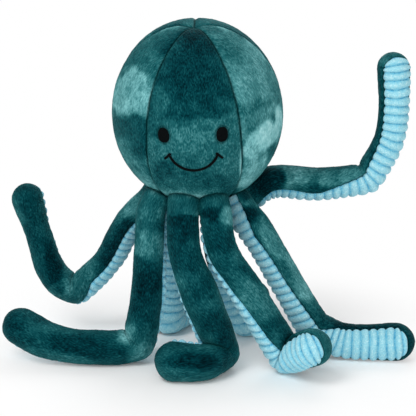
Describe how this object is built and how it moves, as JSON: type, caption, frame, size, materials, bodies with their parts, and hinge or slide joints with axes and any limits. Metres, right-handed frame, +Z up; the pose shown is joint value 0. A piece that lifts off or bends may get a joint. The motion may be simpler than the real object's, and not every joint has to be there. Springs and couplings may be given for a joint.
{
  "type": "plush octopus",
  "caption": "Stuffed octopus with a round gored head, stitched eyes and smile, and bendable tentacles of velour with ribbed undersides.",
  "frame": {"origin": "on the floor, under the middle of the octopus's bounding box as it stands in the picture", "axes": "+Z up, -Y towards the viewer that the face looks at, +X to that viewer's right"},
  "size_m": [0.3446, 0.2106, 0.2839],
  "materials": {
    "velour": "short glossy teal velour with brushed lighter and darker patches",
    "ribbed": "light blue plush in wide soft ribs across the strip",
    "filling": "loose off-white polyester fibre, hidden",
    "thread": "black embroidery thread"
  },
  "bodies": {
    "head": {"head_filling": "filling", "head_base_patch": "velour", "head_gore_front": "velour", "head_gore_right": "velour", "head_gore_back_right": "velour", "head_gore_back_left": "velour", "head_gore_left": "velour", "left_eye": "thread", "right_eye": "thread", "smile": "thread"},
    "tentacle_left_rear_upper": {"tentacle_left_rear_upper_velour": "velour", "tentacle_left_rear_upper_ribbed": "ribbed", "tentacle_left_rear_upper_filling": "filling"},
    "tentacle_left_rear_lower": {"tentacle_left_rear_lower_velour": "velour", "tentacle_left_rear_lower_ribbed": "ribbed", "tentacle_left_rear_lower_filling": "filling"},
    "tentacle_left_front_upper": {"tentacle_left_front_upper_velour": "velour", "tentacle_left_front_upper_ribbed": "ribbed", "tentacle_left_front_upper_filling": "filling"},
    "tentacle_left_front_lower": {"tentacle_left_front_lower_velour": "velour", "tentacle_left_front_lower_ribbed": "ribbed", "tentacle_left_front_lower_filling": "filling"},
    "tentacle_front_left_upper": {"tentacle_front_left_upper_velour": "velour", "tentacle_front_left_upper_ribbed": "ribbed", "tentacle_front_left_upper_filling": "filling"},
    "tentacle_front_left_lower": {"tentacle_front_left_lower_velour": "velour", "tentacle_front_left_lower_ribbed": "ribbed", "tentacle_front_left_lower_filling": "filling"},
    "tentacle_front_right_upper": {"tentacle_front_right_upper_velour": "velour", "tentacle_front_right_upper_ribbed": "ribbed", "tentacle_front_right_upper_filling": "filling"},
    "tentacle_front_right_lower": {"tentacle_front_right_lower_velour": "velour", "tentacle_front_right_lower_ribbed": "ribbed", "tentacle_front_right_lower_filling": "filling"},
    "tentacle_right_front_upper": {"tentacle_right_front_upper_velour": "velour", "tentacle_right_front_upper_ribbed": "ribbed", "tentacle_right_front_upper_filling": "filling"},
    "tentacle_right_front_lower": {"tentacle_right_front_lower_velour": "velour", "tentacle_right_front_lower_ribbed": "ribbed", "tentacle_right_front_lower_filling": "filling"},
    "tentacle_right_rear_upper": {"tentacle_right_rear_upper_velour": "velour", "tentacle_right_rear_upper_ribbed": "ribbed", "tentacle_right_rear_upper_filling": "filling"},
    "tentacle_right_rear_lower": {"tentacle_right_rear_lower_velour": "velour", "tentacle_right_rear_lower_ribbed": "ribbed", "tentacle_right_rear_lower_filling": "filling"},
    "tentacle_rear_left_upper": {"tentacle_rear_left_upper_velour": "velour", "tentacle_rear_left_upper_ribbed": "ribbed", "tentacle_rear_left_upper_filling": "filling"},
    "tentacle_rear_left_lower": {"tentacle_rear_left_lower_velour": "velour", "tentacle_rear_left_lower_ribbed": "ribbed", "tentacle_rear_left_lower_filling": "filling"},
    "tentacle_rear_right_upper": {"tentacle_rear_right_upper_velour": "velour", "tentacle_rear_right_upper_ribbed": "ribbed", "tentacle_rear_right_upper_filling": "filling"},
    "tentacle_rear_right_lower": {"tentacle_rear_right_lower_velour": "velour", "tentacle_rear_right_lower_ribbed": "ribbed", "tentacle_rear_right_lower_filling": "filling"}
  },
  "joints": [
    {"name": "tentacle_left_rear_lift", "type": "hinge", "parent": "head", "child": "tentacle_left_rear_upper", "pos_m": [-0.04541, -0.00707, 0.13161], "axis": [0.3827, 0.9239, 0], "range_deg": [-20, 20]},
    {"name": "tentacle_left_rear_curl", "type": "hinge", "parent": "tentacle_left_rear_upper", "child": "tentacle_left_rear_lower", "pos_m": [-0.11661, 0.03093, 0.04177], "axis": [-0.2277, -0.9692, -0.0936], "range_deg": [-10, 70]},
    {"name": "tentacle_left_front_lift", "type": "hinge", "parent": "head", "child": "tentacle_left_front_upper", "pos_m": [-0.04521, -0.04098, 0.133], "axis": [-0.3827, 0.9239, 0], "range_deg": [-8, 60]},
    {"name": "tentacle_left_front_curl", "type": "hinge", "parent": "tentacle_left_front_upper", "child": "tentacle_left_front_lower", "pos_m": [-0.05821, -0.03898, 0.01595], "axis": [0.1472, -0.9825, -0.1144], "range_deg": [-15, 60]},
    {"name": "tentacle_front_left_lift", "type": "hinge", "parent": "head", "child": "tentacle_front_left_upper", "pos_m": [-0.02109, -0.06124, 0.13339], "axis": [-0.9455, 0.3256, 0], "range_deg": [0, 60]},
    {"name": "tentacle_front_left_curl", "type": "hinge", "parent": "tentacle_front_left_upper", "child": "tentacle_front_left_lower", "pos_m": [0.01191, -0.05524, 0.01393], "axis": [0.7928, -0.6013, 0.0994], "range_deg": [-10, 90]},
    {"name": "tentacle_front_right_lift", "type": "hinge", "parent": "head", "child": "tentacle_front_right_upper", "pos_m": [0.00587, -0.06059, 0.13305], "axis": [-0.9136, -0.4067, 0], "range_deg": [0, 60]},
    {"name": "tentacle_front_right_curl", "type": "hinge", "parent": "tentacle_front_right_upper", "child": "tentacle_front_right_lower", "pos_m": [0.06367, -0.06259, 0.01393], "axis": [0.594, 0.6838, 0.4239], "range_deg": [-10, 90]},
    {"name": "tentacle_right_front_lift", "type": "hinge", "parent": "head", "child": "tentacle_right_front_upper", "pos_m": [0.02571, -0.03886, 0.13063], "axis": [-0.3827, -0.9239, 0], "range_deg": [-8, 50]},
    {"name": "tentacle_right_front_curl", "type": "hinge", "parent": "tentacle_right_front_upper", "child": "tentacle_right_front_lower", "pos_m": [0.08791, -0.02886, 0.027], "axis": [0.0413, 0.9846, 0.1696], "range_deg": [-15, 35]},
    {"name": "tentacle_right_rear_lift", "type": "hinge", "parent": "head", "child": "tentacle_right_rear_upper", "pos_m": [0.02878, -0.00774, 0.13175], "axis": [0.3827, -0.9239, 0], "range_deg": [-60, 5]},
    {"name": "tentacle_right_rear_curl", "type": "hinge", "parent": "tentacle_right_rear_upper", "child": "tentacle_right_rear_lower", "pos_m": [0.12998, 0.00866, 0.14829], "axis": [-0.1157, 0.9909, 0.0689], "range_deg": [-15, 50]},
    {"name": "tentacle_rear_left_lift", "type": "hinge", "parent": "head", "child": "tentacle_rear_left_upper", "pos_m": [-0.02631, 0.01439, 0.13078], "axis": [0.9239, 0.3827, 0], "range_deg": [-8, 60]},
    {"name": "tentacle_rear_left_curl", "type": "hinge", "parent": "tentacle_rear_left_upper", "child": "tentacle_rear_left_lower", "pos_m": [-0.03611, 0.03239, 0.01367], "axis": [-0.8809, 0.4527, 0.1381], "range_deg": [-15, 70]},
    {"name": "tentacle_rear_right_lift", "type": "hinge", "parent": "head", "child": "tentacle_rear_right_upper", "pos_m": [0.0058, 0.01248, 0.129], "axis": [0.9239, -0.3827, 0], "range_deg": [-8, 60]},
    {"name": "tentacle_rear_right_curl", "type": "hinge", "parent": "tentacle_rear_right_upper", "child": "tentacle_rear_right_lower", "pos_m": [0.0326, 0.02628, 0.0138], "axis": [-0.9287, 0.1434, -0.3419], "range_deg": [-15, 70]}
  ]
}
